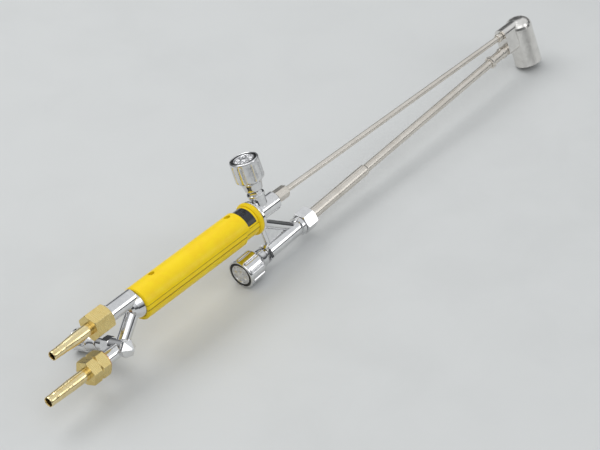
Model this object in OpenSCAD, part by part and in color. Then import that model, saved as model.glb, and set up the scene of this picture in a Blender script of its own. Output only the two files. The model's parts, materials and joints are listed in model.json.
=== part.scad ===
// Hand-held oxy-fuel torch: two hose inlets, a shelled grip, three needle valves, an injector,
// two long gas tubes and a nozzle head. Drawn along +X from the grip's rear edge, then laid
// on the bench on the rims of the preheat knob, the fuel knob and the head.

/* [Grip] */
// Length of the grip, with its end ring
grip_len = 144; // [136:1:150]
// Outer diameter of the grip
grip_d = 30; // [29:0.5:32]
// Wall of the two grip shells
grip_wall = 3; // [2.6:0.1:3.2]
// Length of the name plate's recess
plate_len = 10.8; // [9:0.2:12]

/* [Valves] */
// Diameter of the cutting and preheat knobs
knob_d = 26.4; // [24:0.2:28]
// Diameter of the fuel knob
fuel_knob_d = 19; // [17:0.5:20]
// Lobes around the two large knobs
knob_lobes = 9; // [8:1:10]
// Lobes around the fuel knob
fuel_knob_lobes = 7; // [6:1:8]
// Spindle diameter
spindle_d = 6; // [5.8:0.1:6.2]

/* [Hose inlets] */
// Width of the hose nuts across their flats
hose_nut_af = 21; // [20.5:0.5:22]
// Length of the hose nuts
hose_nut_len = 19.5; // [18:0.5:21]
// Root diameter of the hose nipples
nipple_d = 10.8; // [10:0.2:11]
// Length of a nipple behind its nut
nipple_len = 42.5; // [40:0.5:46]

/* [Tubes and head] */
// Outer diameter of the cutting oxygen tube
cutting_tube_d = 5.2; // [4.8:0.1:5.6]
// Outer diameter of the mixing tube
mixing_tube_d = 8; // [7.8:0.1:8.2]
// Outer diameter of the sleeve behind the mixing tube
sleeve_d = 10.5; // [10.2:0.1:10.8]
// Distance from the grip's rear edge to the head's axis
head_x = 522; // [480:1:560]
// Diameter of the head
head_d = 25.6; // [25:0.2:27]
// Height of the head
head_h = 46.5; // [44:0.5:50]

/* [Lying on the bench] */
// How far the torch leans over on to its fuel knob, in degrees
lean = 20; // [18:0.5:22]

/* [Hidden] */
$fn = 72;
slack = 0.05;             // radial gap of a running fit
grip_r = grip_d / 2;
bore_r = grip_r - grip_wall;
ring_len = 5;
neck_r = grip_r - 1.7;
plate_x = grip_len - ring_len - plate_len - 2.2;
neck_x = plate_x - 4;
screw_x = [25, plate_x - 7.5];

pipe_r = 3.6;             // the two pipes inside the grip
pipe_y = 5.6;

front_x = grip_len;       // back face of the front body's flange
boss_x = front_x + 12;    // axis of the cutting valve
outlet_x = front_x + 30;  // front face of the cutting oxygen outlet
outlet_z = 2;

tube_drop = -1.1;         // slope of the cutting oxygen tube, degrees
mix_rise = 2.83;          // slope of the injector, sleeve and mixing tube, degrees
mix_x = front_x + 6;      // a point on their common axis
mix_z = -36;

oxygen_z = 8;             // height of the oxygen inlet
oxygen_nut_x = -31.5;     // front face of its nut
fuel_x = -29;             // axis of the fuel valve and its inlet
fuel_z = -23.5;
fuel_nut_x = -50.5;
inlet_in = hose_nut_len - 7.4;   // how far an inlet's thread reaches into its nut

knob_h = 29.6;            // whole height of a large knob
knob_hub = 9.5;           // its hub, below the lobes
fuel_knob_h = 27.6;
fuel_knob_hub = 10;
knob_edge = 1.2;          // rounding of a knob's front edge
flute_depth = 1.1;

cut_valve_z = 15.5;       // packing end of the cutting valve's boss
pre_valve_s = -3.7;       // the same for the preheat valve, along the mixing axis
valve_reach = 5.6;        // from a valve's packing end to its knob

union_s = 41.5;           // rear face of the union nut, along the mixing axis
union_len = 13.5;
union_af = 18;
sleeve_end_s = 131.5;
tube_start_s = sleeve_end_s - 19;
fitting_s = head_x - mix_x - 51;

// The sloping fuel tube between the two front bodies, and the stout boss above it.
feed_from = [front_x + 2, 0, -5.8];
feed_to = [boss_x + 31.5, 0, mix_z + 1.5];
feed_r = 4.2;
outlet_boss_r = 8.6;
outlet_boss_z = outlet_z - 1.2;

head_top = 1.7;
head_r = head_d / 2;
block_x = head_x - 26.5;    // rear face of the head's block
rim_cut = 0.6;

// How the torch comes to rest: the bench touches the preheat knob, the head and the fuel knob.
// Height of a rim's lowest point, from its centre's height, radius and angle to the bench.
function lowest(z, r, tilt) = z * cos(lean) - r * sin(tilt);
pre_knob_s = pre_valve_s - valve_reach - knob_h + knob_edge;
pre_knob_x = mix_x + pre_knob_s * cos(mix_rise);
pre_knob_z = mix_z + pre_knob_s * sin(mix_rise);
pre_low = lowest(pre_knob_z, knob_d / 2, 90);
head_low = lowest(head_top - head_h, head_r - rim_cut, lean);
nose_down = atan((head_low - pre_low) / (head_x - pre_knob_x));
bench_at_fuel = pre_low + (fuel_x - pre_knob_x) * tan(nose_down);
fuel_contact_y = (lowest(fuel_z, fuel_knob_d / 2, 90 - lean) - bench_at_fuel) / sin(lean);
fuel_face_y = fuel_contact_y + knob_edge;
fuel_valve_y = 9;
fuel_reach = fuel_face_y - fuel_knob_h - fuel_valve_y;

function laid(p) =
    let (y = p.y * cos(lean) + p.z * sin(lean))
    let (z = p.z * cos(lean) - p.y * sin(lean))
    [p.x * cos(nose_down) + z * sin(nose_down), y, z * cos(nose_down) - p.x * sin(nose_down)];

fuel_tip_x = fuel_nut_x - hose_nut_len - nipple_len;
rear_end = laid([fuel_tip_x, 0, fuel_z - nipple_d / 2 + 1]).x;
front_end = laid([head_x + head_r, 0, -10]).x;
far_side = laid([fuel_x, fuel_contact_y, fuel_z + fuel_knob_d / 2]).y;
near_side = laid([pre_knob_x, 0, pre_knob_z]).y - knob_d / 2;
bench_z = pre_low * cos(nose_down) - pre_knob_x * sin(nose_down);
centred = [-(rear_end + front_end) / 2, -(far_side + near_side) / 2, -bench_z];

// Places and turned shapes

// Puts a piece drawn in the torch's own frame where the torch lies on the bench.
module on_bench() {
    translate(centred)
        rotate([0, nose_down, 0])
            rotate([-lean, 0, 0])
                children();
}

// Turns a piece drawn along +Z forward, along the grip.
module forward(x, y = 0, z = 0) {
    translate([x, y, z])
        rotate([0, 90, 0])
            children();
}

module on_mixing_axis(s) {
    translate([mix_x, 0, mix_z])
        rotate([0, 90 - mix_rise, 0])
            translate([0, 0, s])
                children();
}

module on_cutting_axis(s) {
    translate([outlet_x, 0, outlet_z])
        rotate([0, 90 - tube_drop, 0])
            translate([0, 0, s])
                children();
}

// Each valve's frame: the origin on the body's packing end, +Z out towards the knob.
module at_cutting_valve() {
    on_bench() translate([boss_x, 0, cut_valve_z]) children();
}

module at_preheat_valve() {
    on_bench() on_mixing_axis(pre_valve_s) rotate([180, 0, 0]) children();
}

module at_fuel_valve() {
    on_bench() translate([fuel_x, fuel_valve_y, fuel_z]) rotate([-90, 0, 0]) children();
}

module turned(outline) {
    rotate_extrude() polygon(outline);
}

module tube(d, bore, h) {
    difference() {
        cylinder(d = d, h = h);
        translate([0, 0, -1]) cylinder(d = bore, h = h + 2);
    }
}

// A rod from one point to another, both in the torch's middle plane.
module rod(from, to, r) {
    run = to - from;
    translate(from)
        rotate([0, atan2(run.x, run.z), 0])
            cylinder(r = r, h = norm(run));
}

// A hexagonal bar with its corners turned back at both ends.
module hexagon(af, h, cut = 1, first = 0) {
    corner = af / cos(30) / 2;
    low = first > 0 ? first : cut;
    intersection() {
        cylinder(r = corner, h = h, $fn = 6);
        turned([
            [0, 0], [corner - low, 0], [corner + 0.02, low * 0.7],
            [corner + 0.02, h - cut * 0.7], [corner - cut, h], [0, h]
        ]);
    }
}

// Hose inlets

// A nipple runs back from its seat inside the nut, and steps down in two long tapers.
module hose_nipple(tip_r) {
    root_r = nipple_d / 2;
    mid = nipple_len * 0.36;
    difference() {
        turned([
            [0, -7.3], [5.4, -7.3], [6.6, -5.6], [6.6, -3.4], [root_r, -3.4],
            [root_r, mid], [tip_r + 0.2, nipple_len * 0.72], [tip_r + 0.2, nipple_len * 0.82],
            [tip_r, nipple_len * 0.84], [tip_r, nipple_len - 0.5], [tip_r - 0.5, nipple_len],
            [0, nipple_len]
        ]);
        translate([0, 0, -8]) cylinder(r = tip_r - 1, h = nipple_len + 9);
    }
}

// The nut's back wall holds the nipple's collar, and its mouth takes the inlet's thread.
module hose_nut() {
    difference() {
        union() {
            hexagon(hose_nut_af, hose_nut_len, 1.6, 0.8);
            cylinder(r = hose_nut_af / 2 - 0.4, h = hose_nut_len + 0.4);
        }
        translate([0, 0, -1]) cylinder(r = nipple_d / 2 + slack, h = 6);
        translate([0, 0, 3.4]) cylinder(r = 7 + slack, h = hose_nut_len);
    }
}

module oxygen_hose_nipple() {
    color("#d8bf7a") on_bench() forward(oxygen_nut_x - hose_nut_len, 0, oxygen_z)
        rotate([180, 0, 0]) hose_nipple(4.2);
}

module oxygen_hose_nut() {
    color("#cfae5c") on_bench() forward(oxygen_nut_x - hose_nut_len, 0, oxygen_z) hose_nut();
}

module fuel_hose_nipple() {
    color("#d8bf7a") on_bench() forward(fuel_nut_x - hose_nut_len, 0, fuel_z)
        rotate([180, 0, 0]) hose_nipple(4.7);
}

// The fuel nut's thread is left-handed, which the notches round its corners show.
module fuel_hose_nut() {
    corner = hose_nut_af / cos(30) / 2;
    color("#cfae5c") on_bench() forward(fuel_nut_x - hose_nut_len, 0, fuel_z) rotate(27) difference() {
        hose_nut();
        translate([0, 0, hose_nut_len / 2]) rotate_extrude()
            polygon([[corner - 1.9, 0], [corner + 1, -2.2], [corner + 1, 2.2]]);
    }
}

module fuel_sealing_ring() {
    color("#c8703c") on_bench() forward(fuel_nut_x + 0.45, 0, fuel_z) tube(18.6, 12.9, 1);
}

// Rear body and fuel valve

module rear_body() {
    dome_r = 11.3;
    color("silver") on_bench() difference() {
        union() {
            forward(0) turned(concat(
                [for (a = [0 : 15 : 75]) [dome_r * sin(a), -dome_r * cos(a)]],
                [[bore_r - 0.15, 0], [bore_r - 0.15, 8], [0, 8]]
            ));
            forward(oxygen_nut_x + 2.4, 0, oxygen_z) cylinder(r = 7.5, h = -oxygen_nut_x - 3.9);
            forward(oxygen_nut_x + 0.5, 0, oxygen_z) cylinder(r = 8.6, h = 2);
            forward(oxygen_nut_x - inlet_in, 0, oxygen_z) cylinder(r = 7, h = inlet_in + 1.4);
            rod([-4, 0, -2], [fuel_x + 3.4, 0, fuel_z + 3], 6);
        }
        translate([fuel_x, 0, fuel_z]) rotate([90, 0, 0]) cylinder(r = 7.6, h = 40, center = true);
        forward(oxygen_nut_x - inlet_in - 0.4, 0, oxygen_z) cylinder(r = 3, h = inlet_in + 25.4);
        forward(4, pipe_y, 0) cylinder(r = pipe_r + slack, h = 5);
        forward(4, -pipe_y, 0) cylinder(r = pipe_r + slack, h = 5);
    }
}

// What every valve body is bored out to: the packing chamber, the thread and the seat.
module valve_cavity(seat_depth) {
    translate([0, 0, -4]) cylinder(r = 5.4, h = 5);
    translate([0, 0, -15.2]) cylinder(r = 4, h = 12);
    translate([0, 0, -15.2 - seat_depth]) cylinder(r = 1.3, h = seat_depth + 1);
}

module fuel_valve_body() {
    color("silver") on_bench() difference() {
        union() {
            translate([fuel_x, -7, fuel_z]) rotate([-90, 0, 0]) cylinder(r = 7.5, h = fuel_valve_y + 7);
            forward(fuel_nut_x + 1, 0, fuel_z) cylinder(r = 6.4, h = fuel_x - fuel_nut_x);
            forward(fuel_nut_x - inlet_in, 0, fuel_z) cylinder(r = 7 - slack, h = inlet_in);
            forward(fuel_nut_x - 1, 0, fuel_z) cylinder(r = 6.4, h = 3);
        }
        translate([fuel_x, fuel_valve_y, fuel_z]) rotate([-90, 0, 0]) valve_cavity(2.5);
        forward(fuel_nut_x - inlet_in - 0.4, 0, fuel_z) cylinder(r = 3, h = inlet_in + 13.4);
    }
}

// A six-sided plug, faceted to a blunt point, closes the near end of the valve body.
module fuel_valve_plug() {
    corner = 6.8 / cos(30);
    color("silver") on_bench() translate([fuel_x, -7.05, fuel_z]) rotate([90, 15, 0]) {
        cylinder(r = 7.2, h = 0.6);
        translate([0, 0, 0.5]) cylinder(r = corner, h = 2.2, $fn = 6);
        translate([0, 0, 2.7]) cylinder(r1 = corner, r2 = 1.4, h = 5.8, $fn = 6);
    }
}

// Valve parts, the same in each valve frame

module packing() {
    translate([0, 0, -4]) difference() {
        cylinder(r = 5.35, h = 3);
        translate([0, 0, -1]) cylinder(d = spindle_d + 2 * slack, h = 5);
    }
}

module spindle(reach, hub) {
    stem_r = spindle_d / 2;
    top = reach + hub + 8;
    difference() {
        turned([
            [0, -15.1], [0.9, -15.1], [2.4, -13], [3.9, -13], [3.9, -6.5], [stem_r, -6.5],
            [stem_r, top - 0.4], [stem_r - 0.4, top], [0, top]
        ]);
        translate([0, 0, top - 7]) cylinder(r = 1.6 + slack, h = 8);
    }
}

// Bore for the spindle, and the screw's counterbore, of a knob of height h.
module knob_bores(h, hub) {
    translate([0, 0, -1]) cylinder(d = spindle_d + 2 * slack, h = hub + 9.2);
    translate([0, 0, hub]) cylinder(r = 1.75, h = h);
    translate([0, 0, h - 6.5]) cylinder(r = 4.2, h = 8);
}

// Lobes are what is left between shallow flutes; the face is recessed for a ring and a badge.
module knob(d, h, hub, hub_r, lobes) {
    r = d / 2;
    flute_r = flute_depth + r * 0.14;
    difference() {
        turned([
            [0, 0], [hub_r - 0.6, 0], [hub_r, 0.6], [hub_r + 1.6, hub - 1.6], [r - 1.4, hub],
            [r, hub + 1.4], [r, h - knob_edge], [r - knob_edge * 0.35, h - knob_edge * 0.35],
            [r - knob_edge, h], [0, h]
        ]);
        for (i = [0 : lobes - 1])
            rotate((i + 0.5) * 360 / lobes)
                translate([r + flute_r - flute_depth, 0, hub - 2])
                    cylinder(r = flute_r, h = h);
        knob_bores(h, hub);
        translate([0, 0, h - 1.6]) cylinder(r = r - 1.5, h = 3);
    }
}

module knob_screw(reach, h, hub) {
    translate([0, 0, reach]) {
        translate([0, 0, h - 6.4]) difference() {
            cylinder(r = 3.6, h = 2.6);
            translate([-4, -0.5, 1.4]) cube([8, 1, 2]);
        }
        translate([0, 0, hub + 1.6]) cylinder(r = 1.6, h = h - hub - 7.9);
    }
}

module knob_ring(reach, h, r) {
    translate([0, 0, reach + h - 1.55]) tube(2 * (r - 1.55), 2 * (r - 3.5), 1.2);
}

module knob_badge(reach, h, r) {
    translate([0, 0, reach + h - 1.55])
        turned([[0, 0], [r, 0], [r, 1.1], [r - 0.5, 1.5], [0, 1.8]]);
}

module fuel_packing() {
    color("#e8e4d8") at_fuel_valve() packing();
}

module fuel_packing_nut() {
    color("silver") at_fuel_valve() difference() {
        union() {
            translate([0, 0, -0.95]) cylinder(r = 5.3, h = 2);
            hexagon(14, 9.5, 1.2);
            cylinder(r = 5, h = fuel_reach - 1.2);
        }
        translate([0, 0, -2]) cylinder(d = spindle_d + 2 * slack, h = fuel_reach + 3);
    }
}

module fuel_spindle() {
    color("gray") at_fuel_valve() spindle(fuel_reach, fuel_knob_hub);
}

module fuel_knob() {
    color("silver") at_fuel_valve() translate([0, 0, fuel_reach]) rotate(90)
        knob(fuel_knob_d, fuel_knob_h, fuel_knob_hub, 5.4, fuel_knob_lobes);
}

module fuel_knob_badge() {
    color("gray") at_fuel_valve() knob_badge(fuel_reach, fuel_knob_h, fuel_knob_d / 2 - 1.55);
}

// Grip

module oxygen_pipe() {
    color("#b87333") on_bench() forward(4.1, pipe_y, 0) tube(2 * pipe_r, 5.2, grip_len - 10.2);
}

module fuel_pipe() {
    color("#b87333") on_bench() forward(4.1, -pipe_y, 0) tube(2 * pipe_r, 5.2, grip_len - 10.2);
}

// Outer form of the grip behind its end ring, with a waist from narrow_x forward.
module grip_form(narrow_x) {
    last_x = grip_len - ring_len;
    forward(0) turned([
        [0, 0], [grip_r - 1, 0], [grip_r, 1], [grip_r, narrow_x - 0.8], [grip_r - 0.8, narrow_x],
        [neck_r, narrow_x], [neck_r, last_x], [0, last_x]
    ]);
}

module grip_upper_shell() {
    color("gold") on_bench() difference() {
        intersection() {
            difference() {
                union() {
                    difference() {
                        grip_form(plate_x);
                        forward(-1) cylinder(r = bore_r, h = grip_len);
                    }
                    for (x = screw_x) translate([x, 0, 4.2]) cylinder(r = 4, h = 9);
                }
                for (x = screw_x) {
                    translate([x, 0, 3]) cylinder(r = 1.6, h = 20);
                    translate([x, 0, 10]) cylinder(r = 2.9, h = 20);
                }
            }
            translate([-1, -50, 0.05]) cube([grip_len, 100, 50]);
        }
        // seat of the name plate
        translate([plate_x, 0, 0]) intersection() {
            rotate([0, 90, 0]) tube(2 * neck_r + 4, 2 * neck_r - 1, plate_len);
            translate([0, -14, 1.8]) cube([plate_len, 28, 20]);
        }
    }
}

module grip_lower_shell() {
    color("gold") on_bench() difference() {
        union() {
            difference() {
                grip_form(neck_x);
                forward(-1) cylinder(r = bore_r, h = grip_len);
            }
            for (x = screw_x) translate([x, 0, -bore_r - 0.6]) cylinder(r = 4, h = bore_r - 3.6);
        }
        for (x = screw_x) translate([x, 0, -bore_r + 1]) cylinder(r = 1.55, h = 20);
        translate([-1, -50, -0.05]) cube([grip_len, 100, 50]);
        // a finger groove along each side
        for (side = [-1, 1])
            forward(-1, side * grip_r * cos(18), -grip_r * sin(18)) cylinder(r = 0.9, h = neck_x + 1);
    }
}

module grip_end_ring() {
    color("gold") on_bench() forward(grip_len - ring_len + 0.02) turned([
        [bore_r + slack, 0], [grip_r - 0.9, 0], [grip_r + 0.2, 1.2],
        [grip_r + 0.2, ring_len - 1.4], [grip_r - 0.9, ring_len - 0.1],
        [bore_r + slack, ring_len - 0.1]
    ]);
}

module grip_screws() {
    color("gray") on_bench() for (x = screw_x) translate([x, 0, 0]) difference() {
        union() {
            translate([0, 0, -bore_r + 2]) cylinder(r = 1.5, h = bore_r + 8.05);
            translate([0, 0, 10.05]) cylinder(r = 2.7, h = 1.8);
        }
        translate([-3, -0.35, 11]) cube([6, 0.7, 2]);
    }
}

// A curved plate let into the waist, blank.
module name_plate() {
    color("#20242a") on_bench() translate([plate_x + 0.15, 0, 0]) intersection() {
        rotate([0, 90, 0]) tube(2 * neck_r - 0.1, 2 * neck_r - 0.98, plate_len - 0.3);
        translate([0, -14, 1.95]) cube([plate_len, 28, 20]);
    }
}

// Front body, with the cutting valve

module front_body() {
    color("silver") on_bench() difference() {
        union() {
            forward(grip_len - 10) cylinder(r = bore_r - 0.15, h = 11);
            forward(front_x) turned([
                [0, 0], [14.2, 0], [14.6, 0.5], [14.6, 2.2], [13.8, 3], [11, 3.6], [8.6, 7], [0, 7]
            ]);
            translate([boss_x, 0, -3.5]) cylinder(r = 7.25, h = cut_valve_z + 3.5);
            forward(front_x + 5, 0, outlet_boss_z) turned([
                [0, 0], [outlet_boss_r, 0], [outlet_boss_r, outlet_x - front_x - 6.6],
                [outlet_boss_r - 1.4, outlet_x - front_x - 5], [0, outlet_x - front_x - 5]
            ]);
        }
        translate([boss_x, 0, cut_valve_z]) valve_cavity(4);
        on_cutting_axis(-4) cylinder(d = cutting_tube_d + 2 * slack, h = 6);
        on_cutting_axis(-18) cylinder(r = 1.6, h = 15);
        forward(grip_len - 11, 0, -3) cylinder(r = 1.6, h = 22.5);
        for (side = [-1, 1])
            forward(grip_len - 11, side * pipe_y, 0) cylinder(r = pipe_r + slack, h = 5);
    }
}

module cutting_packing() {
    color("#e8e4d8") at_cutting_valve() packing();
}

module cutting_packing_nut() {
    color("silver") at_cutting_valve() difference() {
        union() {
            translate([0, 0, -0.95]) cylinder(r = 5.3, h = 2);
            turned([[0, 0], [7.5, 0], [7.9, 0.4], [7.9, 1.7], [7.4, 2.1], [0, 2.1]]);
            hexagon(11, 4.4, 0.6);
        }
        translate([0, 0, -2]) cylinder(d = spindle_d + 2 * slack, h = 9);
    }
}

module cutting_spindle() {
    color("gray") at_cutting_valve() spindle(valve_reach, knob_hub);
}

module cutting_knob() {
    color("silver") at_cutting_valve() translate([0, 0, valve_reach]) rotate(8)
        knob(knob_d, knob_h, knob_hub, 8, knob_lobes);
}

module cutting_knob_screw() {
    color("gray") at_cutting_valve() knob_screw(valve_reach, knob_h, knob_hub);
}

module cutting_knob_ring() {
    color("#17191c") at_cutting_valve() knob_ring(valve_reach, knob_h, knob_d / 2);
}

module cutting_knob_badge() {
    color("silver") at_cutting_valve() knob_badge(valve_reach, knob_h, knob_d / 2 - 3.55);
}

// Injector, with the preheat valve

// The room that the front body's flange, neck and outlet boss take up.
module front_clearance() {
    forward(front_x) turned([
        [0, -1], [15, -1], [15, 3], [13.9, 3.05], [11.1, 3.65], [8.65, 7.07], [0, 7.07]
    ]);
    forward(front_x + 3, 0, outlet_boss_z) cylinder(r = outlet_boss_r + slack, h = 30);
}

// The fuel crosses from the front body to the injector in a sloping tube.
module fuel_feed_tube() {
    color("silver") on_bench() difference() {
        rod(feed_from, feed_to, feed_r);
        front_clearance();
        on_mixing_axis(-10) cylinder(r = 7.05, h = 60);
        on_mixing_axis(pre_valve_s + 40.2) cylinder(r = 8.75, h = 20);
        rod(feed_from, feed_to, feed_r - 1.6);
    }
}

// A thin web and a small rear pipe tie the injector to the front body.
module feed_web() {
    color("silver") on_bench() difference() {
        union() {
            rod([front_x + 5.9, 0, -13.6], [front_x + 6.4, 0, mix_z + 2], 2.3);
            translate([0, 1.5, 0]) rotate([90, 0, 0]) linear_extrude(3) polygon([
                [front_x + 6, -9], [boss_x + 30, mix_z + 3], [front_x + 6, mix_z + 3]
            ]);
        }
        rod(feed_from, feed_to, feed_r + slack);
        front_clearance();
        on_mixing_axis(-10) cylinder(r = 7.05, h = 60);
    }
}

module injector_body() {
    color("silver") on_bench() difference() {
        on_mixing_axis(pre_valve_s) turned([
            [0, 0], [6.6, 0], [7, 0.4], [7, 40.4], [8.7, 40.9], [8.7, 44.4], [8, 45],
            [8, 53.2], [0, 53.2]
        ]);
        on_mixing_axis(pre_valve_s) rotate([180, 0, 0]) valve_cavity(7);
        on_mixing_axis(18) cylinder(r = 4.5 + slack, h = 40);
    }
}

// The brass injector sits in the body's front bore and draws the fuel in round its nose.
module injector() {
    color("#d8bf7a") on_bench() on_mixing_axis(18.05) difference() {
        turned([
            [0, 0], [4.5, 0], [4.5, 9], [3.6, 10], [3.6, 16], [1.6, 24], [0, 24]
        ]);
        translate([0, 0, -1]) cylinder(r = 1.2, h = 20);
        cylinder(r = 0.6, h = 30);
    }
}

module preheat_packing() {
    color("#e8e4d8") at_preheat_valve() packing();
}

module preheat_packing_nut() {
    color("silver") at_preheat_valve() difference() {
        union() {
            translate([0, 0, -0.95]) cylinder(r = 5.3, h = 2);
            rotate(10) hexagon(15.4, 3.4, 0.8);
            cylinder(r = 5.4, h = 4.5);
        }
        translate([0, 0, -2]) cylinder(d = spindle_d + 2 * slack, h = 9);
    }
}

module preheat_spindle() {
    color("gray") at_preheat_valve() spindle(valve_reach, knob_hub);
}

module preheat_knob() {
    color("silver") at_preheat_valve() translate([0, 0, valve_reach]) rotate(20)
        knob(knob_d, knob_h, knob_hub, 8, knob_lobes);
}

module preheat_knob_screw() {
    color("gray") at_preheat_valve() knob_screw(valve_reach, knob_h, knob_hub);
}

module preheat_knob_ring() {
    color("#17191c") at_preheat_valve() knob_ring(valve_reach, knob_h, knob_d / 2);
}

module preheat_knob_badge() {
    color("silver") at_preheat_valve() knob_badge(valve_reach, knob_h, knob_d / 2 - 3.55);
}

// Tubes

module union_nut() {
    color("silver") on_bench() on_mixing_axis(union_s) rotate(45) difference() {
        hexagon(union_af, union_len, 1.3);
        translate([0, 0, -1]) cylinder(r = 8 + slack, h = 11.4);
        cylinder(d = sleeve_d + 2 * slack, h = union_len + 1);
    }
}

// A collar under the union nut pulls the sleeve on to the injector body.
module mixing_sleeve() {
    seat_s = union_s + 8.3;
    color("#c9c9c4") on_bench() on_mixing_axis(seat_s) difference() {
        turned([
            [0, 0], [7.2, 0], [7.2, 1.9], [sleeve_d / 2, 1.9], [sleeve_d / 2, sleeve_end_s - seat_s],
            [mixing_tube_d / 2 + 0.6, sleeve_end_s - seat_s + 1.6], [0, sleeve_end_s - seat_s + 1.6]
        ]);
        translate([0, 0, -1]) cylinder(r = 3, h = 200);
        translate([0, 0, tube_start_s - seat_s]) cylinder(d = mixing_tube_d + 2 * slack, h = 40);
    }
}

module mixing_tube() {
    color("#c9c9c4") on_bench() on_mixing_axis(tube_start_s + 0.05)
        tube(mixing_tube_d, mixing_tube_d - 2, fitting_s - tube_start_s + 24);
}

module mixing_tube_fitting() {
    fit_r = mixing_tube_d / 2 + 0.6;
    color("#c9c9c4") on_bench() on_mixing_axis(fitting_s) difference() {
        turned([
            [0, 0], [fit_r, 0], [fit_r, 0.6], [fit_r + 1.3, 1.4], [fit_r + 1.3, 3.4], [fit_r, 4.2],
            [fit_r, 17.2], [fit_r + 0.9, 18], [fit_r + 0.9, 21.2], [fit_r, 22], [fit_r, 32.5],
            [0, 32.5]
        ]);
        translate([0, 0, -1]) cylinder(d = mixing_tube_d + 2 * slack, h = 26);
        cylinder(r = 3, h = 40);
    }
}

module outlet_nut() {
    color("silver") on_bench() on_cutting_axis(0.15) difference() {
        rotate(30) hexagon(10.4, 14, 0.8);
        translate([0, 0, -1]) cylinder(d = cutting_tube_d + 2 * slack, h = 20);
    }
}

module cutting_tube() {
    color("#c9c9c4") on_bench() on_cutting_axis(-3.9)
        tube(cutting_tube_d, cutting_tube_d - 1.6, block_x - outlet_x + 11.8);
}

module cutting_tube_collar() {
    color("#c9c9c4") on_bench() on_cutting_axis(block_x - outlet_x - 5.6) difference() {
        turned([[0, 0], [3.4, 0], [4.1, 0.6], [4.1, 2.6], [3.5, 3.2], [3.5, 5.2], [0, 5.2]]);
        translate([0, 0, -1]) cylinder(d = cutting_tube_d + 2 * slack, h = 8);
    }
}

// Head

// Outline of a rectangle with round corners, from half its width and height.
function round_corners(w, h, r) = [
    for (q = [0 : 3])
        let (x = (q == 0 || q == 3 ? 1 : -1) * (w - r), y = (q < 2 ? 1 : -1) * (h - r))
        for (a = [0 : 15 : 90]) [x + r * cos(a + 90 * q), y + r * sin(a + 90 * q)]
];

// A flat-sided block takes both tubes and runs into a domed cylinder, open below for the nozzle.
module torch_head() {
    block_mid_z = -11.2;
    half_w = 6.3;
    half_h = 12.7;
    corner = 4;
    dome = 8.5;
    color("#c4c4c0") on_bench() difference() {
        union() {
            translate([head_x, 0, head_top]) turned(concat(
                [[0, -head_h], [head_r - rim_cut, -head_h], [head_r, rim_cut - head_h]],
                [for (a = [0 : 15 : 90])
                    [head_r - dome + dome * cos(a), dome * sin(a) - dome]],
                [[0, 0]]
            ));
            forward(block_x, 0, block_mid_z) rotate(90) linear_extrude(head_x - block_x - 2)
                polygon(round_corners(half_w, half_h, corner));
        }
        translate([head_x, 0, head_top - head_h - 1]) cylinder(r = 9.25, h = 13);
        translate([head_x, 0, head_top - head_h + 11.9]) cylinder(r1 = 8.4, r2 = 3.6, h = 14);
        translate([head_x, 0, -14]) cylinder(r = 1.8, h = 10);
        on_cutting_axis(block_x - outlet_x - 1) cylinder(d = cutting_tube_d + 2 * slack, h = 9);
        on_cutting_axis(block_x - outlet_x + 7) cylinder(r = 1.6, h = 22);
        on_mixing_axis(block_x - mix_x - 1) cylinder(d = mixing_tube_d + 1.2 + 2 * slack, h = 10.2);
        on_mixing_axis(block_x - mix_x + 9) cylinder(r = 2.4, h = 16);
    }
}

oxygen_hose_nipple();
oxygen_hose_nut();
fuel_hose_nipple();
fuel_hose_nut();
fuel_sealing_ring();
rear_body();
fuel_valve_body();
fuel_valve_plug();
fuel_packing();
fuel_packing_nut();
fuel_spindle();
fuel_knob();
fuel_knob_badge();
oxygen_pipe();
fuel_pipe();
grip_upper_shell();
grip_lower_shell();
grip_end_ring();
grip_screws();
name_plate();
front_body();
cutting_packing();
cutting_packing_nut();
cutting_spindle();
cutting_knob();
cutting_knob_screw();
cutting_knob_ring();
cutting_knob_badge();
fuel_feed_tube();
feed_web();
injector_body();
injector();
preheat_packing();
preheat_packing_nut();
preheat_spindle();
preheat_knob();
preheat_knob_screw();
preheat_knob_ring();
preheat_knob_badge();
union_nut();
mixing_sleeve();
mixing_tube();
mixing_tube_fitting();
outlet_nut();
cutting_tube();
cutting_tube_collar();
torch_head();
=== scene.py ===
import json
import math

import bmesh
import bpy
from mathutils import Matrix, Vector

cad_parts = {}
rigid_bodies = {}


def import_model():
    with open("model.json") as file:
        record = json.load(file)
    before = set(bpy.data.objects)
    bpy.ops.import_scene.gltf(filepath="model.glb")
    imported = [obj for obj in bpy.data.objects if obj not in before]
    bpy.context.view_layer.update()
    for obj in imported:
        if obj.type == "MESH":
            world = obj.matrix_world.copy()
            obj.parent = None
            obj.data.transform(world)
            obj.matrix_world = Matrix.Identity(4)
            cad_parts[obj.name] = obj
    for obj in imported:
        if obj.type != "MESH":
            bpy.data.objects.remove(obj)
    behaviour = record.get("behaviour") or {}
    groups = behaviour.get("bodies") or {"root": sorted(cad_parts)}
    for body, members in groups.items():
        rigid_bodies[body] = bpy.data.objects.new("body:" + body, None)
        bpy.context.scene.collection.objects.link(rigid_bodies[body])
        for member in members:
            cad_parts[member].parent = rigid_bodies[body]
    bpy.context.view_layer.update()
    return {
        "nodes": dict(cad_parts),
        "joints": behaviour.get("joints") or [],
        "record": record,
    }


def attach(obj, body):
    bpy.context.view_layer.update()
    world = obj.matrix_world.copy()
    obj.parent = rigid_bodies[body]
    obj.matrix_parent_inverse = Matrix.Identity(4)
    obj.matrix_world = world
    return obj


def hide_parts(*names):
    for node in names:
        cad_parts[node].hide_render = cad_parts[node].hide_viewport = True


for leftover in list(bpy.data.objects):
    bpy.data.objects.remove(leftover)

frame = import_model()
nodes = frame["nodes"]
mounts = {m["name"]: m for m in frame["record"]["mounts"]}
joints = {j["name"]: j for j in frame["joints"]}
print("frame loaded:", len(nodes), "nodes")

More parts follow.
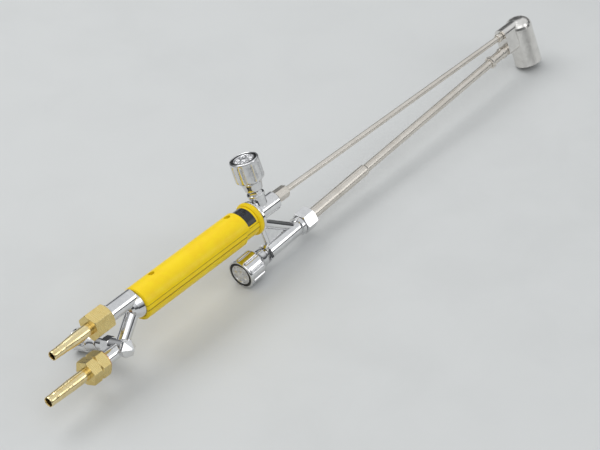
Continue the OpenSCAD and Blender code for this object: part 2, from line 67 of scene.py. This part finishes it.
# The grip's own directions as the torch lies on the bench, and the middle of its rear edge.
forward = -Vector(mounts["oxygen_hose_tip"]["axis"])
upward = Vector(joints["cutting_turn"]["axis"])
knobAhead, knobAbove = 0.156, 0.0255  # the cutting knob's joint, from the grip's rear edge
rearEdge = Vector(joints["cutting_turn"]["pos_m"]) - forward * knobAhead - upward * knobAbove


def seatOn(point, axis, side):  # places a piece drawn in millimetres along +Z
    out = Vector(axis).normalized()
    first = (Vector(side) - out * out.dot(side)).normalized()
    turn = Matrix((first, out.cross(first), out)).transposed().to_4x4()
    return Matrix.Translation(point) @ turn @ Matrix.Scale(0.001, 4)


def reachAlong(nodeName, point, axis):  # how far a CAD node spans along an axis, in millimetres
    spots = [(v.co - point).dot(axis) * 1000 for v in nodes[nodeName].data.vertices]
    return min(spots), max(spots)


# Shader groups

def newGroup(name, inputs, outputs):
    group = bpy.data.node_groups.new(name, "ShaderNodeTree")
    for label, kind, value in inputs:
        socket = group.interface.new_socket(name=label, in_out="INPUT", socket_type=kind)
        socket.default_value = value
    for label, kind in outputs:
        group.interface.new_socket(name=label, in_out="OUTPUT", socket_type=kind)
    return group, group.nodes.new("NodeGroupInput"), group.nodes.new("NodeGroupOutput")


def addNode(tree, kind, values=None, **settings):
    node = tree.nodes.new(kind)
    for key, value in settings.items():
        setattr(node, key, value)
    for key, value in (values or {}).items():
        node.inputs[key].default_value = value
    return node


def handlingMarks():  # soft clouds where the surface has been handled
    tree, given, result = newGroup(
        "handling marks",
        [("Vector", "NodeSocketVector", (0, 0, 0)), ("Scale", "NodeSocketFloat", 60.0),
         ("Cover", "NodeSocketFloat", 0.5)],
        [("Mask", "NodeSocketFloat")],
    )
    broad = addNode(tree, "ShaderNodeTexNoise", {"Detail": 3.0, "Roughness": 0.55})
    fineScale = addNode(tree, "ShaderNodeMath", {1: 4.3}, operation="MULTIPLY")
    fine = addNode(tree, "ShaderNodeTexNoise", {"Detail": 5.0, "Roughness": 0.6, "Distortion": 0.4})
    both = addNode(tree, "ShaderNodeMath", operation="MULTIPLY")
    lift = addNode(tree, "ShaderNodeMath", {1: 2.0}, operation="MULTIPLY")
    reach = addNode(tree, "ShaderNodeMath", {1: 0.35}, operation="ADD")
    start = addNode(tree, "ShaderNodeMath", {1: 0.2}, operation="SUBTRACT")
    shape = addNode(tree, "ShaderNodeMapRange", interpolation_type="SMOOTHSTEP")
    link = tree.links.new
    link(given.outputs["Vector"], broad.inputs["Vector"])
    link(given.outputs["Scale"], broad.inputs["Scale"])
    link(given.outputs["Vector"], fine.inputs["Vector"])
    link(given.outputs["Scale"], fineScale.inputs[0])
    link(fineScale.outputs[0], fine.inputs["Scale"])
    link(broad.outputs["Fac"], both.inputs[0])
    link(fine.outputs["Fac"], both.inputs[1])
    link(both.outputs[0], lift.inputs[0])
    link(given.outputs["Cover"], reach.inputs[0])
    link(given.outputs["Cover"], start.inputs[0])
    link(lift.outputs[0], shape.inputs["Value"])
    link(start.outputs[0], shape.inputs["From Min"])
    link(reach.outputs[0], shape.inputs["From Max"])
    link(shape.outputs["Result"], result.inputs["Mask"])
    return tree


def drawnGrain():  # fine lines left by drawing, brushing or turning
    tree, given, result = newGroup(
        "drawn grain",
        [("Vector", "NodeSocketVector", (0, 0, 0)), ("Stretch", "NodeSocketVector", (1, 1, 1)),
         ("Scale", "NodeSocketFloat", 900.0)],
        [("Height", "NodeSocketFloat"), ("Mask", "NodeSocketFloat")],
    )
    squeeze = addNode(tree, "ShaderNodeVectorMath", operation="MULTIPLY")
    lines = addNode(tree, "ShaderNodeTexNoise", {"Detail": 4.0, "Roughness": 0.65})
    mask = addNode(tree, "ShaderNodeMapRange", {"From Min": 0.35, "From Max": 0.65})
    link = tree.links.new
    link(given.outputs["Vector"], squeeze.inputs[0])
    link(given.outputs["Stretch"], squeeze.inputs[1])
    link(squeeze.outputs[0], lines.inputs["Vector"])
    link(given.outputs["Scale"], lines.inputs["Scale"])
    link(lines.outputs["Fac"], result.inputs["Height"])
    link(lines.outputs["Fac"], mask.inputs["Value"])
    link(mask.outputs["Result"], result.inputs["Mask"])
    return tree


def easedEdges():  # edges broken by polishing, and where they are
    tree, given, result = newGroup(
        "eased edges",
        [("Radius", "NodeSocketFloat", 0.0003), ("Sharpness", "NodeSocketFloat", 6.0)],
        [("Normal", "NodeSocketVector"), ("Mask", "NodeSocketFloat")],
    )
    bevel = addNode(tree, "ShaderNodeBevel", samples=6)
    flat = addNode(tree, "ShaderNodeNewGeometry")
    match = addNode(tree, "ShaderNodeVectorMath", operation="DOT_PRODUCT")
    turnOver = addNode(tree, "ShaderNodeMath", {0: 1.0}, operation="SUBTRACT")
    boost = addNode(tree, "ShaderNodeMath", operation="MULTIPLY", use_clamp=True)
    link = tree.links.new
    link(given.outputs["Radius"], bevel.inputs["Radius"])
    link(bevel.outputs["Normal"], result.inputs["Normal"])
    link(bevel.outputs["Normal"], match.inputs[0])
    link(flat.outputs["Normal"], match.inputs[1])
    link(match.outputs["Value"], turnOver.inputs[1])
    link(turnOver.outputs[0], boost.inputs[0])
    link(given.outputs["Sharpness"], boost.inputs[1])
    link(boost.outputs[0], result.inputs["Mask"])
    return tree


def cornerDirtAndShade():  # dirt and polish residue that stays in inside corners, with painted shade: ambient occlusion darkens every sheltered spot
    tree, given, result = newGroup(
        "corner dirt and painted shade",
        [("Distance", "NodeSocketFloat", 0.002), ("Amount", "NodeSocketFloat", 0.5)],
        [("Mask", "NodeSocketFloat")],
    )
    # ambient occlusion darkens sheltered corners: painted shade, with some real dirt
    shelter = addNode(tree, "ShaderNodeAmbientOcclusion", samples=8)
    turnOver = addNode(tree, "ShaderNodeMath", {0: 1.0}, operation="SUBTRACT")
    shape = addNode(tree, "ShaderNodeMapRange", {"From Min": 0.35, "From Max": 0.9})
    amount = addNode(tree, "ShaderNodeMath", operation="MULTIPLY", use_clamp=True)
    link = tree.links.new
    link(given.outputs["Distance"], shelter.inputs["Distance"])
    link(shelter.outputs["AO"], turnOver.inputs[1])
    link(turnOver.outputs[0], shape.inputs["Value"])
    link(shape.outputs["Result"], amount.inputs[0])
    link(given.outputs["Amount"], amount.inputs[1])
    link(amount.outputs[0], result.inputs["Mask"])
    return tree


def seamAndShadeLine():  # a dark line along the grip: at the seam a dark joint, at the finger groove painted shade
    tree, given, result = newGroup(
        "seam and painted shade line",
        [("Vector", "NodeSocketVector", (0, 0, 0)), ("Middle", "NodeSocketVector", tuple(rearEdge)),
         ("Across", "NodeSocketVector", tuple(upward)), ("Offset", "NodeSocketFloat", 0.0),
         ("Width", "NodeSocketFloat", 0.0005), ("Strength", "NodeSocketFloat", 0.7)],
        [("Mask", "NodeSocketFloat")],
    )
    start = addNode(tree, "ShaderNodeVectorMath", operation="SUBTRACT")
    height = addNode(tree, "ShaderNodeVectorMath", operation="DOT_PRODUCT")
    away = addNode(tree, "ShaderNodeMath", operation="SUBTRACT")
    either = addNode(tree, "ShaderNodeMath", operation="ABSOLUTE")
    shape = addNode(tree, "ShaderNodeMapRange", {"To Max": 0.0}, interpolation_type="SMOOTHSTEP")
    link = tree.links.new
    link(given.outputs["Vector"], start.inputs[0])
    link(given.outputs["Middle"], start.inputs[1])
    link(start.outputs[0], height.inputs[0])
    link(given.outputs["Across"], height.inputs[1])
    link(height.outputs["Value"], away.inputs[0])
    link(given.outputs["Offset"], away.inputs[1])
    link(away.outputs[0], either.inputs[0])
    link(either.outputs[0], shape.inputs["Value"])
    link(given.outputs["Width"], shape.inputs["From Max"])
    link(given.outputs["Strength"], shape.inputs["To Min"])
    link(shape.outputs["Result"], result.inputs["Mask"])
    return tree


marksGroup = handlingMarks()
grainGroup = drawnGrain()
edgesGroup = easedEdges()
dirtAndShadeGroup = cornerDirtAndShade()
seamAndShadeLineGroup = seamAndShadeLine()


def useGroup(tree, group, **values):
    node = tree.nodes.new("ShaderNodeGroup")
    node.node_tree = group
    for key, value in values.items():
        node.inputs[key].default_value = value
    return node


# One finish: a base colour that drifts, handling marks, grain, eased edges, dirt with painted shade
# in inside corners, and dark lines.
def makeFinish(name, look):
    material = bpy.data.materials.new(name)
    material.use_nodes = True
    tree = material.node_tree
    shader = tree.nodes["Principled BSDF"]
    link = tree.links.new
    place = addNode(tree, "ShaderNodeTexCoord")
    marks = useGroup(tree, marksGroup, Scale=look["markScale"], Cover=look["markCover"])
    grain = useGroup(tree, grainGroup, Scale=look["grainScale"], Stretch=look["grainStretch"])
    edges = useGroup(tree, edgesGroup, Radius=look["edge"] * 0.001, Sharpness=look["edgeSharpness"])
    # dirt in inside corners together with painted shade from ambient occlusion
    dirtAndShade = useGroup(tree, dirtAndShadeGroup, Distance=look["dirtAndShadeReach"] * 0.001, Amount=look["dirtAndShade"])
    for group in (marks, grain):
        link(place.outputs["Object"], group.inputs["Vector"])

    drift = addNode(tree, "ShaderNodeMix", data_type="RGBA")
    drift.inputs["A"].default_value = (*look["color"], 1)
    drift.inputs["B"].default_value = (*look["drift"], 1)
    link(marks.outputs["Mask"], drift.inputs["Factor"])
    worn = addNode(tree, "ShaderNodeMix", data_type="RGBA")
    worn.inputs["B"].default_value = (*look["edgeColor"], 1)
    link(drift.outputs["Result"], worn.inputs["A"])
    link(edges.outputs["Mask"], worn.inputs["Factor"])
    # mix towards the dark colour in sheltered corners: painted shade, with some dirt
    dirtAndShaded = addNode(tree, "ShaderNodeMix", data_type="RGBA")
    dirtAndShaded.inputs["B"].default_value = (*look["dirtAndShadeColor"], 1)
    link(worn.outputs["Result"], dirtAndShaded.inputs["A"])
    link(dirtAndShade.outputs["Mask"], dirtAndShaded.inputs["Factor"])
    surface = dirtAndShaded.outputs["Result"]
    # dark lines: a seam as a dark joint, and painted shade along a groove
    for offset, width, strength in look["lines"]:
        line = useGroup(tree, seamAndShadeLineGroup, Offset=offset * 0.001, Width=width * 0.001,
                        Strength=strength)
        link(place.outputs["Object"], line.inputs["Vector"])
        darker = addNode(tree, "ShaderNodeMix", data_type="RGBA")
        darker.inputs["B"].default_value = (*look["dirtAndShadeColor"], 1)
        link(surface, darker.inputs["A"])
        link(line.outputs["Mask"], darker.inputs["Factor"])
        surface = darker.outputs["Result"]
    link(surface, shader.inputs["Base Color"])

    sheen = addNode(tree, "ShaderNodeMath", operation="ADD")
    link(marks.outputs["Mask"], sheen.inputs[0])
    link(grain.outputs["Mask"], sheen.inputs[1])
    low, high = look["roughness"]
    rough = addNode(tree, "ShaderNodeMapRange", {"From Max": 2.0, "To Min": low, "To Max": high})
    link(sheen.outputs[0], rough.inputs["Value"])
    link(rough.outputs["Result"], shader.inputs["Roughness"])

    bump = addNode(tree, "ShaderNodeBump",
                   {"Strength": look["grainDepth"], "Distance": grainHeight})
    link(grain.outputs["Height"], bump.inputs["Height"])
    link(edges.outputs["Normal"], bump.inputs["Normal"])
    link(bump.outputs["Normal"], shader.inputs["Normal"])

    shader.inputs["Metallic"].default_value = look["metallic"]
    shader.inputs["Coat Weight"].default_value = look["coat"]
    shader.inputs["Coat Roughness"].default_value = coatRoughness
    shader.inputs["Specular IOR Level"].default_value = look["specular"]
    return material


metalBase = {
    "metallic": 1.0, "specular": 0.5, "coat": 0.0, "markScale": 55.0, "markCover": 0.45,
    "grainScale": 900.0, "grainStretch": (1, 1, 1), "grainDepth": 0.06,
    # the dirt amount, reach and colour also set the painted shade in corners
    "edge": 0.3, "edgeSharpness": 4.0, "dirtAndShade": 0.5, "dirtAndShadeReach": 1.6,
    "dirtAndShadeColor": (0.10, 0.09, 0.08), "lines": (),
}

polishedChrome = {
    **metalBase, "color": (0.82, 0.82, 0.82), "drift": (0.70, 0.70, 0.71),
    "edgeColor": (0.93, 0.93, 0.93), "roughness": (0.045, 0.14), "grainDepth": 0.05,
}
knobChrome = {
    **metalBase, "color": (0.78, 0.78, 0.78), "drift": (0.66, 0.66, 0.67),
    "edgeColor": (0.92, 0.92, 0.92), "roughness": (0.07, 0.20), "grainDepth": 0.08,
}
satinNickel = {
    **metalBase, "color": (0.80, 0.755, 0.69), "drift": (0.70, 0.655, 0.59),
    "edgeColor": (0.93, 0.91, 0.88), "roughness": (0.22, 0.36), "grainDepth": 0.22,
    "grainScale": 700.0, "grainStretch": (0.04, 1, 1), "dirtAndShade": 0.35,
}
headNickel = {
    **metalBase, "color": (0.84, 0.82, 0.79), "drift": (0.74, 0.72, 0.69),
    "edgeColor": (0.93, 0.92, 0.90), "roughness": (0.15, 0.28), "grainDepth": 0.16,
    "grainScale": 600.0, "grainStretch": (1, 1, 0.1), "edge": 0.5,
}
brassNut = {
    **metalBase, "color": (0.84, 0.67, 0.29), "drift": (0.74, 0.56, 0.21),
    "edgeColor": (0.94, 0.82, 0.50), "roughness": (0.22, 0.38), "grainDepth": 0.2,
    "grainScale": 500.0, "grainStretch": (1, 0.12, 0.12), "dirtAndShadeColor": (0.20, 0.11, 0.04),
}
brassTail = {
    **brassNut, "color": (0.88, 0.75, 0.44), "drift": (0.80, 0.64, 0.33), "roughness": (0.15, 0.28),
    "grainStretch": (1, 0.1, 0.1),
}
copperRing = {
    **metalBase, "color": (0.80, 0.36, 0.18), "drift": (0.60, 0.25, 0.12),
    "edgeColor": (0.90, 0.52, 0.34), "roughness": (0.2, 0.4), "grainDepth": 0.15,
}
turnedSteel = {
    **metalBase, "color": (0.60, 0.60, 0.60), "drift": (0.46, 0.46, 0.46),
    "edgeColor": (0.80, 0.80, 0.80), "roughness": (0.18, 0.36), "grainDepth": 0.15,
}
badgeSilver = {
    **metalBase, "color": (0.80, 0.80, 0.81), "drift": (0.60, 0.60, 0.61), "markScale": 320.0,
    "edgeColor": (0.92, 0.92, 0.92), "roughness": (0.20, 0.42), "grainDepth": 0.3,
    # near-black painted shade in the rosette's hollows, to bring out its relief
    "grainScale": 1400.0, "dirtAndShade": 0.9, "dirtAndShadeReach": 0.8, "dirtAndShadeColor": (0.04, 0.04, 0.045),
}
plasticBase = {
    **metalBase, "metallic": 0.0, "specular": 0.3, "grainScale": 1500.0, "grainDepth": 0.08,
    "edge": 0.5, "edgeSharpness": 1.5,
}
gripYellow = {
    **plasticBase, "color": (0.98, 0.72, 0.002), "drift": (0.95, 0.65, 0.002),
    "edgeColor": (0.98, 0.78, 0.02), "roughness": (0.34, 0.50), "coat": 0.12, "markScale": 30.0,
    # strong dark corners on the grip: painted shade in its grooves and recesses, with some dirt
    "dirtAndShade": 0.9, "dirtAndShadeReach": 1.4, "dirtAndShadeColor": (0.20, 0.14, 0.002),
}
# dark lines: the seam at middle height as a dark joint, and painted shade in the finger groove 4.64
# mm below it
gripShells = {**gripYellow, "lines": ((0.0, 0.5, 0.75), (-4.64, 0.95, 0.8))}
plateBlack = {
    **plasticBase, "color": (0.012, 0.013, 0.016), "drift": (0.024, 0.026, 0.032),
    "edgeColor": (0.05, 0.05, 0.055), "roughness": (0.18, 0.34), "coat": 0.3, "dirtAndShade": 0.0,
}
ringBlack = {
    **plasticBase, "color": (0.008, 0.008, 0.009), "drift": (0.02, 0.02, 0.022),
    "edgeColor": (0.03, 0.03, 0.03), "roughness": (0.22, 0.42), "dirtAndShade": 0.0, "edge": 0.2,
}
packingWhite = {
    **plasticBase, "color": (0.80, 0.79, 0.74), "drift": (0.68, 0.66, 0.60),
    "edgeColor": (0.85, 0.84, 0.80), "roughness": (0.45, 0.65), "edge": 0.2,
}

finishes = {
    "polishedChrome": polishedChrome, "knobChrome": knobChrome, "satinNickel": satinNickel,
    "headNickel": headNickel, "brassNut": brassNut, "brassTail": brassTail,
    "copperRing": copperRing, "turnedSteel": turnedSteel, "badgeSilver": badgeSilver,
    "gripYellow": gripYellow, "gripShells": gripShells, "plateBlack": plateBlack,
    "ringBlack": ringBlack,
    "packingWhite": packingWhite,
}
coatRoughness = 0.08
grainHeight = 0.0001
materials = {name: makeFinish(name, look) for name, look in finishes.items()}
print("finishes made:", len(materials))

# CAD nodes keep their shape and get a finish.
nodeFinishes = {
    "polishedChrome": [
        "rear_body", "fuel_valve_body", "fuel_valve_plug", "fuel_packing_nut", "front_body",
        "cutting_packing_nut", "fuel_feed_tube", "feed_web", "injector_body",
        "preheat_packing_nut", "union_nut",
    ],
    "knobChrome": ["fuel_knob", "cutting_knob", "preheat_knob"],
    "satinNickel": [
        "mixing_sleeve", "mixing_tube", "mixing_tube_fitting", "outlet_nut", "cutting_tube",
        "cutting_tube_collar",
    ],
    "headNickel": ["torch_head"],
    "brassNut": ["oxygen_hose_nut", "fuel_hose_nut", "injector"],
    "brassTail": ["oxygen_hose_nipple", "fuel_hose_nipple"],
    "copperRing": ["fuel_sealing_ring", "oxygen_pipe", "fuel_pipe"],
    "turnedSteel": [
        "fuel_spindle", "cutting_spindle", "preheat_spindle", "cutting_knob_screw",
        "preheat_knob_screw", "grip_screws",
    ],
    "badgeSilver": ["fuel_knob_badge", "cutting_knob_badge", "preheat_knob_badge"],
    "gripShells": ["grip_upper_shell", "grip_lower_shell"],
    "gripYellow": ["grip_end_ring"],
    "plateBlack": ["name_plate"],
    "ringBlack": ["cutting_knob_ring", "preheat_knob_ring"],
    "packingWhite": ["fuel_packing", "cutting_packing", "preheat_packing"],
}
for finishName, nodeNames in nodeFinishes.items():
    for nodeName in nodeNames:
        for slot in nodes[nodeName].material_slots:
            slot.material = materials[finishName]
print("nodes finished:", sum(len(names) for names in nodeFinishes.values()))

# Detailed pieces

def buildPiece(name, rings, place, finish, body, stands, closed=False, sharp=32):
    form = bmesh.new()
    loops = [[form.verts.new(spot) for spot in ring] for ring in rings]
    count = len(rings[0])
    pairs = list(zip(loops, loops[1:])) + ([(loops[-1], loops[0])] if closed else [])
    for lower, upper in pairs:
        for i in range(count):
            j = (i + 1) % count
            form.faces.new((lower[i], lower[j], upper[j], upper[i]))
    if not closed:
        form.faces.new(loops[0][::-1])
        form.faces.new(loops[-1])
    bmesh.ops.recalc_face_normals(form, faces=form.faces)
    for face in form.faces:
        face.smooth = True
    for edge in form.edges:
        edge.smooth = edge.calc_face_angle(0.0) < math.radians(sharp)
    mesh = bpy.data.meshes.new(name)
    form.to_mesh(mesh)
    form.free()
    mesh.transform(place)
    mesh.materials.append(materials[finish])
    piece = bpy.data.objects.new(name, mesh)
    bpy.context.scene.collection.objects.link(piece)
    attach(piece, body)
    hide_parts(*stands)
    return piece


def turnedRings(outline, count):  # outline of radius and height pairs, turned about +Z
    turns = [math.tau * i / count for i in range(count)]
    return [[(r * math.cos(a), r * math.sin(a), z) for a in turns] for r, z in outline]


def ease(low, high, value):
    t = min(max((value - low) / (high - low), 0.0), 1.0)
    return t * t * (3 - 2 * t)


# A valve's place: the packing end of its boss, the way out, and where its lobes are counted from.
valves = {
    "cutting": {"back": 0.010, "side": forward, "phase": 8.0},
    "preheat": {"back": 0.010, "side": -upward, "phase": 20.0},
    "fuel": {"back": 0.020, "side": forward, "phase": 90.0},
}
for name, valve in valves.items():
    joint = joints[name + "_turn"]
    valve["axis"] = Vector(joint["axis"]).normalized()
    valve["at"] = Vector(joint["pos_m"]) - valve["axis"] * valve["back"]
    valve["reach"], valve["top"] = reachAlong(name + "_knob", valve["at"], valve["axis"])


largeKnob = {
    "radius": 13.2, "hub": 9.5, "foot": 8.0, "lobes": 9, "perLobe": 24, "notch": 1.45,
    "notchWidth": 0.17, "rim": 1.7, "recess": 1.6, "lip": 1.5, "bore": 3.08, "boreDepth": 8.0,
    "well": 4.0, "steps": 12,
}
smallKnob = {
    **largeKnob, "radius": 9.5, "hub": 10.0, "foot": 5.4, "lobes": 7, "notch": 1.2,
    "notchWidth": 0.19, "rim": 1.6,
}
lobeCrown = 0.12  # how much a lobe falls away beside its notch


def lobedKnob(valveName, look):
    valve = valves[valveName]
    tall = valve["top"] - valve["reach"]
    radius, hub, foot = look["radius"], look["hub"], look["foot"]
    face = tall - look["rim"]
    count = look["lobes"] * look["perLobe"]
    outline = [
        (look["bore"], hub + look["boreDepth"]), (look["bore"], 0.4), (3.5, 0.0),
        (foot - 0.8, 0.0), (foot - 0.25, 0.15),
        (foot, 0.6), (foot + 0.25, 2.0), (foot + 0.75, 4.5), (foot + 1.3, hub - 2.6),
        (foot + 1.7, hub - 1.55), (foot + 2.6, hub - 0.9), (radius - 1.5, hub + 0.05),
        (radius - 0.75, hub + 0.55), (radius - 0.2, hub + 1.3), (radius, hub + 2.2),
    ]
    steps = look["steps"]
    outline += [(radius, hub + 2.2 + (face - hub - 2.6) * i / steps) for i in range(1, steps + 1)]
    outline += [
        (radius, face + 0.1), (radius, face + 0.5), (radius - 0.12, tall - 0.75),
        (radius - 0.4, tall - 0.3), (radius - 0.85, tall - 0.04), (radius - 1.15, tall - 0.02),
        (radius - look["lip"], tall - 0.3), (radius - look["lip"], tall - look["recess"]),
        (look["well"], tall - look["recess"]),
    ]
    rings = []
    for r, z in outline:
        depth = look["notch"] * ease(hub - 0.6, hub + 2.0, z)
        depth *= 1 - ease(face - 1.6, face + 0.3, z)
        ring = []
        for i in range(count):
            share = (i / look["perLobe"] + 0.5) % 1.0
            toNotch = min(share, 1 - share)
            cut = depth * (1 - ease(0.0, look["notchWidth"], toNotch))
            crown = depth * lobeCrown * (1 - ease(look["notchWidth"], 0.5, toNotch))
            far = r - cut - crown if r > radius - 0.9 else r - max(0.0, cut - (radius - r))
            turn = math.tau * i / count + math.tau / look["lobes"] / 2
            ring.append((far * math.cos(turn), far * math.sin(turn), z))
        rings.append(ring)
    place = seatOn(valve["at"], valve["axis"], valve["side"])
    place = place @ Matrix.Rotation(math.radians(valve["phase"]), 4, "Z")
    place = place @ Matrix.Translation((0, 0, valve["reach"]))
    buildPiece(valveName + "KnobBody", rings, place, "knobChrome", valveName + "_knob",
               [valveName + "_knob"], sharp=48)


lobedKnob("cutting", largeKnob)
lobedKnob("preheat", largeKnob)
lobedKnob("fuel", smallKnob)
print("knobs built")

# A plain rosette in low relief: a bead round the rim, petals, and a domed boss.
badge = {
    "petals": 10, "count": 200, "petalRise": 0.75, "beadRise": 0.75, "bossRise": 1.15,
    "field": 0.55, "boss": 0.34, "highest": 1.76, "depth": 1.55,
    "radii": [0.995, 0.985, 0.96, 0.93, 0.90, 0.875, 0.85, 0.83, 0.80, 0.74, 0.66, 0.58, 0.50,
              0.44, 0.41, 0.385, 0.365, 0.34, 0.31, 0.25, 0.18, 0.10, 0.03],
}


def rosette(valveName, radius):
    valve = valves[valveName]
    turns = [math.tau * i / badge["count"] for i in range(badge["count"])]
    rings = [[(radius * math.cos(a), radius * math.sin(a), 0.0) for a in turns]]
    for share in badge["radii"]:
        petals = badge["petalRise"] * ease(0.40, 0.47, share) * (1 - ease(0.78, 0.84, share))
        bead = badge["beadRise"] * ease(0.855, 0.89, share) * (1 - ease(0.965, 1.0, share))
        boss = badge["bossRise"] * (1 - ease(badge["boss"] - 0.02, badge["boss"] + 0.05, share))
        dome = boss * (1 - 0.25 * (share / badge["boss"]) ** 2)
        ring = []
        for turn in turns:
            petal = petals * ease(-0.25, 0.55, math.cos(turn * badge["petals"]))
            high = min(badge["field"] + petal + bead + max(dome, 0.0), badge["highest"])
            ring.append((radius * share * math.cos(turn), radius * share * math.sin(turn), high))
        rings.append(ring)
    place = seatOn(valve["at"], valve["axis"], valve["side"])
    place = place @ Matrix.Translation((0, 0, valve["top"] - badge["depth"]))
    buildPiece(valveName + "KnobRosette", rings, place, "badgeSilver", valveName + "_knob",
               [valveName + "_knob_badge"], sharp=60)


rosette("cutting", 9.6)
rosette("preheat", 9.6)
rosette("fuel", 7.9)
print("rosettes built")

# Hose nipples: a coned nose and collar inside the nut, then a tail with turned rings.
nippleBase = {
    "root": 5.4, "straight": 15.3, "long": 42.5, "wall": 1.0, "ringDepth": 0.32, "noseEnd": -7.3,
    "nose": [(5.3, -7.3), (6.6, -5.6), (6.6, -3.4)],
    "stations": (0.58, 0.64, 0.72, 0.845, 0.9, 0.955),  # shares of the length where the tail bends
    "coneEnd": 0.72, "tipFrom": 0.84,
}
nippleLooks = {
    "oxygen": {**nippleBase, "tip": 4.2, "rings": (29.2, 35.2)},
    "fuel": {**nippleBase, "tip": 4.7, "rings": (19.0, 23.0, 34.0)},
}


def hoseNipple(gas, look):
    mount = mounts[gas + "_hose_tip"]
    axis = Vector(mount["axis"]).normalized()
    nodeName = gas + "_hose_nipple"
    behind = reachAlong(nodeName, Vector(mount["pos_m"]), axis)[1]
    start = Vector(mount["pos_m"]) + axis * (behind - look["long"]) * 0.001
    root, tip, far = look["root"], look["tip"], look["long"]
    bore = tip - look["wall"]

    def radiusAt(z):
        cone = far * look["coneEnd"] - look["straight"]
        share = min(max((z - look["straight"]) / cone, 0.0), 1.0)
        tail = root + (tip + 0.2 - root) * share
        return min(tail, tip) if z > far * look["tipFrom"] else tail

    outline = look["nose"] + [(root, -3.4), (root, 6.0), (root, look["straight"])]
    marks = sorted([z + d for z in look["rings"] for d in (-0.75, -0.45, 0.45, 0.75)])
    stations = sorted(set(marks + [far * share for share in look["stations"]]))
    for z in stations:
        if z <= look["straight"]:
            continue
        sunk = look["ringDepth"] if any(abs(z - ring) < 0.5 for ring in look["rings"]) else 0.0
        outline.append((radiusAt(z) - sunk, z))
    outline += [
        (tip, far - 0.7), (tip - 0.12, far - 0.3), (tip - 0.32, far - 0.05), (tip - 0.42, far),
        (bore + 0.25, far - 0.35), (bore + 0.05, far - 1.2), (bore, far - 3.0),
        (bore, look["noseEnd"]),
    ]
    buildPiece(gas + "NippleTurned", turnedRings(outline, 72), seatOn(start, axis, upward),
               "brassTail", "torch", [nodeName], closed=True, sharp=24)


for gas, look in nippleLooks.items():
    hoseNipple(gas, look)
print("nipples built")

# Bench, light and camera
bench = {
    "size": 12.0, "color": (0.63, 0.64, 0.635), "drift": (0.605, 0.615, 0.61),
    "markScale": 3.0, "markCover": 0.5, "roughness": 0.7,
}


def benchMaterial():
    material = bpy.data.materials.new("bench")
    material.use_nodes = True
    tree = material.node_tree
    shader = tree.nodes["Principled BSDF"]
    place = addNode(tree, "ShaderNodeTexCoord")
    marks = useGroup(tree, marksGroup, Scale=bench["markScale"], Cover=bench["markCover"])
    drift = addNode(tree, "ShaderNodeMix", data_type="RGBA")
    drift.inputs["A"].default_value = (*bench["color"], 1)
    drift.inputs["B"].default_value = (*bench["drift"], 1)
    tree.links.new(place.outputs["Object"], marks.inputs["Vector"])
    tree.links.new(marks.outputs["Mask"], drift.inputs["Factor"])
    tree.links.new(drift.outputs["Result"], shader.inputs["Base Color"])
    shader.inputs["Roughness"].default_value = bench["roughness"]
    return material


bpy.ops.mesh.primitive_plane_add(size=bench["size"], location=(0, 0, 0))
floor = bpy.context.object
floor.name = "benchTop"
floor.data.materials.append(benchMaterial())

world = bpy.data.worlds.new("room")
bpy.context.scene.world = world
world.use_nodes = True
room = {
    "low": (0.06, 0.063, 0.066), "high": (0.95, 0.97, 0.99), "from": 0.10, "to": 0.60,
    "strength": 0.8,
}
roomTree = world.node_tree
roomPlace = addNode(roomTree, "ShaderNodeTexCoord")
roomSplit = addNode(roomTree, "ShaderNodeSeparateXYZ")
roomSpan = {"From Min": room["from"], "From Max": room["to"]}
roomRise = addNode(roomTree, "ShaderNodeMapRange", roomSpan, interpolation_type="SMOOTHSTEP")
roomMix = addNode(roomTree, "ShaderNodeMix", data_type="RGBA")
roomMix.inputs["A"].default_value = (*room["low"], 1)
roomMix.inputs["B"].default_value = (*room["high"], 1)
roomTree.links.new(roomPlace.outputs["Generated"], roomSplit.inputs[0])
roomTree.links.new(roomSplit.outputs["Z"], roomRise.inputs["Value"])
roomTree.links.new(roomRise.outputs["Result"], roomMix.inputs["Factor"])
roomTree.links.new(roomMix.outputs["Result"], roomTree.nodes["Background"].inputs["Color"])
roomTree.nodes["Background"].inputs["Strength"].default_value = room["strength"]

lamps = {
    "keyBox": {"at": (-0.15, 1.25, 1.7), "size": (1.5, 1.0), "power": 13.0},
    "topBox": {"at": (-0.7, -0.9, 1.7), "size": (1.6, 1.1), "power": 5.0},
    "frontBox": {"at": (0.9, -1.7, 0.9), "size": (0.7, 1.0), "power": 4.0},
}


def softLamp(name, lamp):
    data = bpy.data.lights.new(name, "AREA")
    data.shape = "RECTANGLE"
    data.size, data.size_y = lamp["size"]
    data.energy = lamp["power"]
    light = bpy.data.objects.new(name, data)
    light.location = lamp["at"]
    light.rotation_mode = "QUATERNION"
    light.rotation_quaternion = Vector(lamp["at"]).to_track_quat("Z", "Y")
    bpy.context.scene.collection.objects.link(light)


for name, lamp in lamps.items():
    softLamp(name, lamp)

camera = {
    "lens": 144.0, "lookAt": (-0.02377, -0.02522, 0.020), "distance": 2.0781,
    "azimuth": -47.679, "elevation": 38.830, "roll": -3.129,
}


def placeCamera():
    data = bpy.data.cameras.new("camera")
    data.lens = camera["lens"]
    data.sensor_width = 36.0
    data.clip_start = 0.05
    body = bpy.data.objects.new("camera", data)
    bpy.context.scene.collection.objects.link(body)
    bpy.context.scene.camera = body
    around, above, roll = (math.radians(camera[k]) for k in ("azimuth", "elevation", "roll"))
    back = Vector((math.sin(around) * math.cos(above), -math.cos(around) * math.cos(above),
                   math.sin(above)))
    level = Vector((0, 0, 1)).cross(back).normalized()
    steep = back.cross(level)
    right = level * math.cos(roll) + steep * math.sin(roll)
    turn = Matrix((right, back.cross(right), back)).transposed().to_4x4()
    stand = Vector(camera["lookAt"]) + back * camera["distance"]
    body.matrix_world = Matrix.Translation(stand) @ turn


placeCamera()
bpy.context.scene.view_settings.view_transform = "Standard"
print("stage set")
